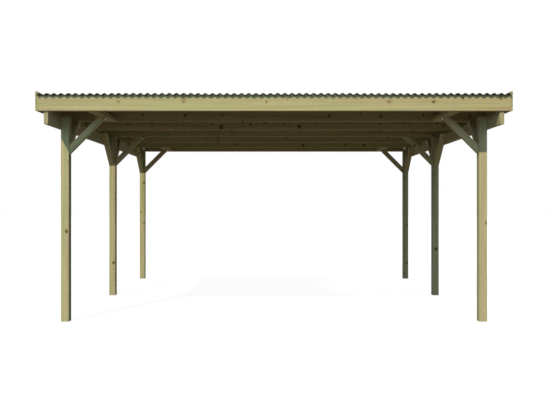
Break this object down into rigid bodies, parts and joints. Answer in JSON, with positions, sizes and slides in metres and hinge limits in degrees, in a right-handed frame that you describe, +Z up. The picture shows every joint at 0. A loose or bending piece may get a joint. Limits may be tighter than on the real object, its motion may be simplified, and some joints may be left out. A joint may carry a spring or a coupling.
{
  "type": "timber carport",
  "caption": "Open flat-roofed timber carport: square posts, side beams, rafters across, diagonal braces both ways, fascia boards and dark corrugated roof sheets.",
  "frame": {"origin": "on the ground at the middle of the plan", "axes": "+X across the carport to the right seen from the front, +Y from the front to the rear, +Z up"},
  "size_m": [5.12, 5.11, 2.55],
  "materials": {
    "post_pine": "planed pine, pressure treated",
    "beam_pine": "planed pine, pressure treated",
    "rafter_pine": "planed pine, pressure treated",
    "brace_pine": "planed pine, pressure treated",
    "fascia_pine": "planed pine board, pressure treated",
    "roof_sheet": "dark grey coil-coated corrugated steel, satin",
    "zinc_fixings": "galvanised and zinc-plated brackets, bolts and screws"
  },
  "bodies": {
    "root": {"post_front_left": "post_pine", "post_front_right": "post_pine", "post_middle_left": "post_pine", "post_middle_right": "post_pine", "post_rear_left": "post_pine", "post_rear_right": "post_pine", "side_beam_left": "beam_pine", "side_beam_right": "beam_pine", "rafter_1": "rafter_pine", "rafter_2": "rafter_pine", "rafter_3": "rafter_pine", "rafter_4": "rafter_pine", "rafter_5": "rafter_pine", "rafter_6": "rafter_pine", "rafter_7": "rafter_pine", "brace_block_front_left": "rafter_pine", "brace_block_front_right": "rafter_pine", "brace_block_rear_left": "rafter_pine", "brace_block_rear_right": "rafter_pine", "cross_brace_front_left": "brace_pine", "cross_brace_front_right": "brace_pine", "cross_brace_middle_left": "brace_pine", "cross_brace_middle_right": "brace_pine", "cross_brace_rear_left": "brace_pine", "cross_brace_rear_right": "brace_pine", "long_brace_1_left": "brace_pine", "long_brace_1_right": "brace_pine", "long_brace_2_left": "brace_pine", "long_brace_2_right": "brace_pine", "long_brace_3_left": "brace_pine", "long_brace_3_right": "brace_pine", "long_brace_4_left": "brace_pine", "long_brace_4_right": "brace_pine", "fascia_front": "fascia_pine", "fascia_rear": "fascia_pine", "fascia_left": "fascia_pine", "fascia_right": "fascia_pine", "roof_sheet_1": "roof_sheet", "roof_sheet_2": "roof_sheet", "roof_sheet_3": "roof_sheet", "roof_sheet_4": "roof_sheet", "roof_sheet_5": "roof_sheet", "roof_sheet_6": "roof_sheet"}
  },
  "joints": []
}
